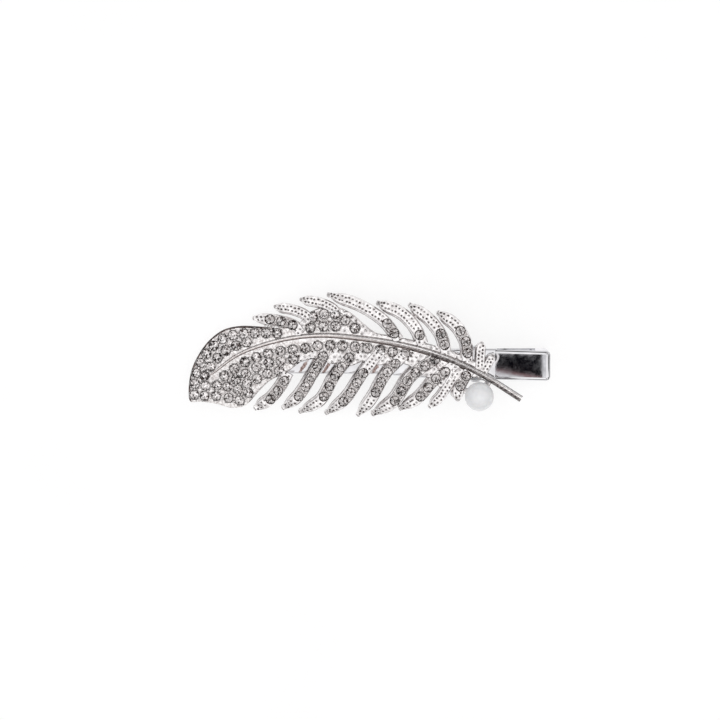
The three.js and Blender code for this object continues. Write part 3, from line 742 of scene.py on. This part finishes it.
def plate():
    low, high = OUTLINE.min(axis=0), OUTLINE.max(axis=0)
    outline = np.concatenate([OUTLINE, OUTLINE[:1]])
    along = np.roll(OUTLINE, -1, axis=0) - np.roll(OUTLINE, 1, axis=0)
    along /= np.linalg.norm(along, axis=1)[:, None]
    inner = OUTLINE + BORDER * np.column_stack([along[:, 1], -along[:, 0]])
    inner = inner[distance_to_line(inner, outline) > 0.95 * BORDER]
    fill = scattered(low, high, GRID, 0.0)
    fill = fill[inside_outline(fill)]
    fill = fill[distance_to_line(fill, outline) > BORDER + 0.5 * GRID]
    border = len(OUTLINE)
    everywhere = np.concatenate([OUTLINE, inner, fill])
    ring = [(i, (i + 1) % border) for i in range(border)]
    plan, _, faces, *_ = delaunay_2d_cdt([Vector(p) for p in everywhere], ring, [], 1, 1e-6)
    plan = np.array([tuple(p) for p in plan])
    height, marks = plate_relief(plan)
    top = np.column_stack([plan, height])
    bottom = np.column_stack([plan[:border], np.zeros(border)])
    count = len(plan)
    walls = [(i, j, count + j, count + i) for i, j in ring]
    slots = [int(min(marks[i] for i in face)) for face in faces] + [0] * (border + 1)
    body = np.concatenate([top, bottom]), [*faces, *walls, tuple(count + i for i in range(border))]
    return body, slots


BEAD = {"row": 0.62, "reach": 3.4, "from_stones": 1.1, "apart": 0.52}


def beads():
    """Small round claws between neighbouring stones."""
    spots = []
    for i, a in enumerate(ALL_STONES):
        for b in ALL_STONES[i + 1:]:
            far = np.linalg.norm(b - a)
            if far > BEAD["reach"]:
                continue
            normal = np.array([a[1] - b[1], b[0] - a[0]]) / far
            for side in (-BEAD["row"], 0, BEAD["row"]):
                spots.append((a + b) / 2 + side * normal)
    spots = [s for s in spots if distance_to_spots(ALL_STONES, [s]).min() > BEAD["from_stones"]]
    kept = []
    for spot in spots:
        if not kept or distance_to_spots(np.array(kept), [spot]).min() > BEAD["apart"]:
            kept.append(spot)
    shell = Shell()
    for x, y in kept:
        r = dice.uniform(0.2, 0.29)
        z = 1.34 + dice.uniform(-0.05, 0.05)
        profile = [(0, 0.9), (r, 0.9), *arc(0, z, r, 0, 72, 4), (0, z + r)]
        shell.add(lathe(profile, 10, (x, y, 0)))
    piece = shell.build("setting_beads", [bead_metal])
    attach(piece, "upper_arm")


def feather_metal():
    web = Shell()
    web.add(*plate())
    web.add(bar(STRAP["path"], STRAP["width"] / 2, STRAP["low"], STRAP["high"]))
    casting = web.build("feather_plate", [plating, painted_recess_shade, grained], sharp=50, crease=len(OUTLINE))
    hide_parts("feather_casting")
    ribs = Shell()
    for name, shape in BARBS.items():
        ribs.add(*barb(name, shape))
    rod = Shell()
    rod.add(*quill())
    rod.add(quill_shadow(), 2)
    barbs = ribs.build("feather_barbs", [plating, painted_recess_shade, grained])
    for piece in (casting, barbs, rod.build("feather_quill", [plating, quill_skin, painted_recess_shade])):
        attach(piece, "upper_arm")


# ---------- pearl and its peg ----------
def pearl_and_peg():
    hole = {"r": 0.55, "top": -0.8}
    opening = math.degrees(math.asin(hole["r"] / PEARL_R))
    ball = arc(0, 0, PEARL_R, -90 + opening, 90, 64)
    profile = [(0, hole["top"]), (hole["r"], hole["top"] - 0.2), *ball[:-1], (0, PEARL_R)]
    shell = Shell()
    shell.add(lathe(profile, 96, PEARL))
    pearl = shell.build("pearl_bead", [nacre], place=lambda points: to_part(points, crowned=False))
    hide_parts("pearl")
    cup = [(0, -0.18), (1.42, -0.18), *arc(1.42, -0.1, 0.08, -60, 60, 4), (1.48, 0.26), (1.4, 0.3)]
    dish = [(r, PEARL.z - math.sqrt(3.05**2 - r * r)) for r in (1.25, 1.0, 0.75, 0.5)]
    peg = [(0.45, 0.1), (0.45, 1.75), (0.38, 1.87), (0, 1.9)]
    seat = Shell()
    seat.add(lathe(cup + dish + peg, 48, (PEARL.x, PEARL.y, 0)))
    holder = seat.build("pearl_peg", [plating], place=lambda points: to_part(points, crowned=False))
    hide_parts("pearl_cup")
    for piece in (pearl, holder):
        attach(piece, "upper_arm")


# ---------- clip ----------
LARGE_FACE = 15.0  # mm2, above which a face is polished flat up to its edges


def softened(source, name, material, bevel):
    """A copy of a CAD node with its flat faces joined and its sharp edges rounded by bevel mm."""
    mesh = frame["nodes"][source].data.copy()
    mesh.materials.clear()
    mesh.materials.append(material)
    shape = bmesh.new()
    shape.from_mesh(mesh)
    bmesh.ops.remove_doubles(shape, verts=shape.verts, dist=0.002 * MM)
    bmesh.ops.dissolve_limit(shape, angle_limit=math.radians(0.6), verts=shape.verts, edges=shape.edges)
    corners = [e for e in shape.edges if e.is_manifold and e.calc_face_angle() > math.radians(38)]
    bmesh.ops.bevel(shape, geom=corners, offset=bevel * MM, segments=2, profile=0.6, affect="EDGES",
                    clamp_overlap=True)
    for face in shape.faces:
        face.material_index = 0
    shape.to_mesh(mesh)
    shape.free()
    piece = finished(mesh, name, 34)
    creased = set()
    for face in mesh.polygons:
        if face.area > LARGE_FACE * MM**2:
            for edge in face.edge_keys:
                creased.add(edge)
    for edge in mesh.edges:
        edge.use_edge_sharp = edge.use_edge_sharp or edge.key in creased
    flat = piece.modifiers.new("flat faces", "WEIGHTED_NORMAL")
    flat.keep_sharp = True
    flat.weight = 100
    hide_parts(source)
    return piece


def rivet():
    head = {"r": 1.05, "inner": 3.4, "outer": 3.83}
    soft = 0.12
    rim = arc(head["r"] - soft, head["inner"] + soft, soft, -90, 40, 5)
    half = [*rim, (0.7, 3.76), (0.35, 3.82), (0, head["outer"])]
    low = [(r, -z) for r, z in reversed(half)]
    profile = [*low, (0.6, -head["inner"]), (0.6, head["inner"]), *half]
    points, faces = lathe(profile, 40)
    shell = Shell()
    shell.add((points[:, [1, 2, 0]], faces))
    piece = shell.build("hinge_rivet", [mirror], place=lambda points: moved(points, HINGE_TO_PART))
    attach(piece, "upper_arm")
    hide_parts("hinge_pin")


def spring():
    coil = {"r": 1.1, "turns": 3.5, "half_width": 1.5}
    legs = {"x": 8.0, "upper_z": 2.2, "lower_z": -2.05}
    share = np.linspace(0, 1, 85)
    turn = math.pi / 2 + 2 * math.pi * coil["turns"] * share
    turns = np.column_stack([
        coil["r"] * np.cos(turn), coil["half_width"] * (1 - 2 * share), coil["r"] * np.sin(turn),
    ])

    def leg(start, z):
        t = np.array([0.35, 0.7, 1.0])
        return np.column_stack([
            start[0] + (legs["x"] - start[0]) * t, np.full(3, start[1]), start[2] + (z - start[2]) * t**3,
        ])

    upper = leg(turns[0], legs["upper_z"])[::-1]
    route = np.concatenate([upper, turns, leg(turns[-1], legs["lower_z"])])
    shell = Shell()
    shell.add(tube(curve(route, each=2), 0.3))
    piece = shell.build("coil_spring", [wire_metal], place=lambda points: moved(points, HINGE_TO_PART))
    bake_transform(piece)
    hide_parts("torsion_spring")


def solder_pads():
    for name in ("front", "middle", "rear"):
        source = "solder_pad_" + name
        low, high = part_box(source)
        middle = moved([(low + high) / 2], PART_TO_PLAN)[0]
        r = (high.x - low.x) / MM / 2
        bottom, top = -0.52, -0.2
        profile = [(0, bottom), (r, bottom), (0.99 * r, bottom + 0.06), (0.9 * r, bottom + 0.18),
                   (0.84 * r, top - 0.04), (0.8 * r, top), (0, top)]
        points, faces = lathe(profile, 48)
        bearing = np.arctan2(points[:, 1], points[:, 0])
        points[:, :2] *= (1 - 0.05 + 0.05 * np.sin(3 * bearing + 1) * np.cos(2 * bearing))[:, None]
        shell = Shell()
        shell.add((points + (middle[0], middle[1], 0), faces))
        piece = shell.build("solder_" + name, [tin], place=lambda p: to_part(p, crowned=False))
        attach(piece, "upper_arm")
        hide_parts(source)


# ---------- studio ----------
def camera():
    lean = math.radians(5)  # from straight above, towards +Y
    away = 0.414
    target = Vector((-1.8, -0.9, 6.0)) * MM
    lens = bpy.data.cameras.new("camera")
    lens.lens = 100
    lens.clip_start, lens.clip_end = 0.01, 10
    made = bpy.data.objects.new("camera", lens)
    made.location = target + away * Vector((0, math.sin(lean), math.cos(lean)))
    made.rotation_euler = (-lean, 0, 0)
    bpy.context.scene.collection.objects.link(made)
    bpy.context.scene.camera = made
    bpy.context.scene.view_settings.view_transform = "Standard"


def floor():
    mesh = bpy.data.meshes.new("floor")
    half = 3.0
    corners = [(-half, -half, 0), (half, -half, 0), (half, half, 0), (-half, half, 0)]
    mesh.from_pydata(corners, [], [(0, 1, 2, 3)])
    made = bpy.data.objects.new("floor", mesh)
    tones = ((0.32, 0.32, 0.32), (0.35, 0.35, 0.35))
    paper = finish_of("paper", tones, (0.8, 0.95), 0.02, 0.5, 0.01, metallic=0.0)
    tree = paper.node_tree
    shader = tree.nodes["Principled BSDF"]
    shader.inputs["Specular IOR Level"].default_value = 0.1
    shader.inputs["Emission Color"].default_value = (1, 1, 1, 1)
    away = node(tree, "VectorMath", {0: node(tree, "TexCoord").outputs["Object"]}, operation="LENGTH")
    # A painted pool of light: near the part the floor glows more, filling in its shadow.
    painted_light_pool = between(tree, away.outputs["Value"], 0.05, 0.2, 0.74, 0.1)
    seen = between(tree, node(tree, "LightPath").outputs["Is Camera Ray"], 0.0, 1.0, 0.0, 0.74)
    glow = node(tree, "Math", {0: painted_light_pool, 1: seen}, operation="MAXIMUM").outputs[0]
    tree.links.new(glow, shader.inputs["Emission Strength"])
    mesh.materials.append(paper)
    bpy.context.scene.collection.objects.link(made)


def mirrored_way(place):
    """The direction that the camera sees in the upper lever's flat face at a place in mm."""
    normal = Vector(MOUNTS["upper_lever_pad"]["axis"])
    view = (bpy.context.scene.camera.location - Vector(place) * MM).normalized()
    return 2 * normal.dot(view) * normal - view


def opening(tree, way):
    """How far a direction lies in the opening, in its dark part, and beyond the bright panel round both."""
    low, high = Vector((26.2, -4.3, 7)), Vector((35.8, 0.55, 7))
    middle = mirrored_way((low + high) / 2)
    right = mirrored_way((high.x, (low.y + high.y) / 2, 7)) - middle
    up = mirrored_way(((low.x + high.x) / 2, high.y, 7)) - middle
    offset = node(tree, "VectorMath", {0: way, 1: middle}, operation="SUBTRACT").outputs["Vector"]
    shares = []
    for side in (right, up):
        share = node(tree, "VectorMath", {0: offset, 1: side / side.length_squared}, operation="DOT_PRODUCT")
        shares.append(share.outputs["Value"])
    across, along = shares
    sideways = node(tree, "Math", {0: across}, operation="ABSOLUTE").outputs[0]
    sides = between(tree, sideways, 1.03, 0.99, 0.0, 1.0)
    top = between(tree, along, 1.05, 0.98, 0.0, 1.0)
    slanted = node(tree, "Math", {0: across, 1: 0.35, 2: along}, operation="MULTIPLY_ADD").outputs[0]
    front = node(tree, "VectorMath", {0: way, 1: middle}, operation="DOT_PRODUCT").outputs["Value"]
    inside = product(tree, sides, top, between(tree, front, 0.9, 0.91, 0.0, 1.0))
    parts = []
    for edge in (-0.98, -0.7):  # the whole opening is red, and its dark part covers all but one edge
        parts.append(product(tree, inside, between(tree, slanted, edge, edge + 0.07, 0.0, 1.0)))
    panel = [math.cos(math.radians(angle)) for angle in (14, 17)]
    return *parts, between(tree, front, *panel, 0.0, 1.0)


def tent():
    """A white light tent: a dark opening that the upper lever mirrors, dark low sides and some dark gaps."""
    world = bpy.data.worlds.new("tent")
    bpy.context.scene.world = world
    world.use_nodes = True
    tree = world.node_tree
    way = node(tree, "TexCoord").outputs["Generated"]
    height = node(tree, "SeparateXYZ", {0: way}).outputs["Z"]
    risen = between(tree, height, 0.3, 0.42, 0.0, 1.0)
    colour = blend_colours(tree, risen, (0.1, 0.095, 0.095), (1.25, 1.24, 1.24))
    red, dark, beyond = opening(tree, way)
    drift = node(tree, "TexNoise", {"Vector": way, "Scale": 4.2, "Detail": 0.0}).outputs["Fac"]
    below = between(tree, height, 0.93, 0.89, 0.0, 1.0)
    gap = product(tree, between(tree, drift, 0.53, 0.56, 0.0, 1.0), below)
    colour = blend_colours(tree, gap, colour, (0.06, 0.053, 0.052))
    colour = blend_colours(tree, beyond, (0.97, 0.97, 0.99), colour)
    colour = blend_colours(tree, red, colour, (0.26, 0.15, 0.155))
    colour = blend_colours(tree, dark, colour, (0.004, 0.004, 0.006))
    seen = node(tree, "LightPath").outputs["Is Camera Ray"]
    colour = blend_colours(tree, seen, colour, (0.98, 0.98, 0.98))
    tree.links.new(colour, tree.nodes["Background"].inputs["Color"])


camera()
floor()
tent()
feather_metal()
settings_of_stones()
beads()
for row in ROWS:
    gems(row)
pearl_and_peg()
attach(softened("top_arm", "upper_clip_arm", tinted, 0.07), "upper_arm")
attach(softened("bottom_arm", "lower_clip_arm", mirror, 0.07), "lower_arm")
rivet()
spring()
solder_pads()

bpy.context.view_layer.update()
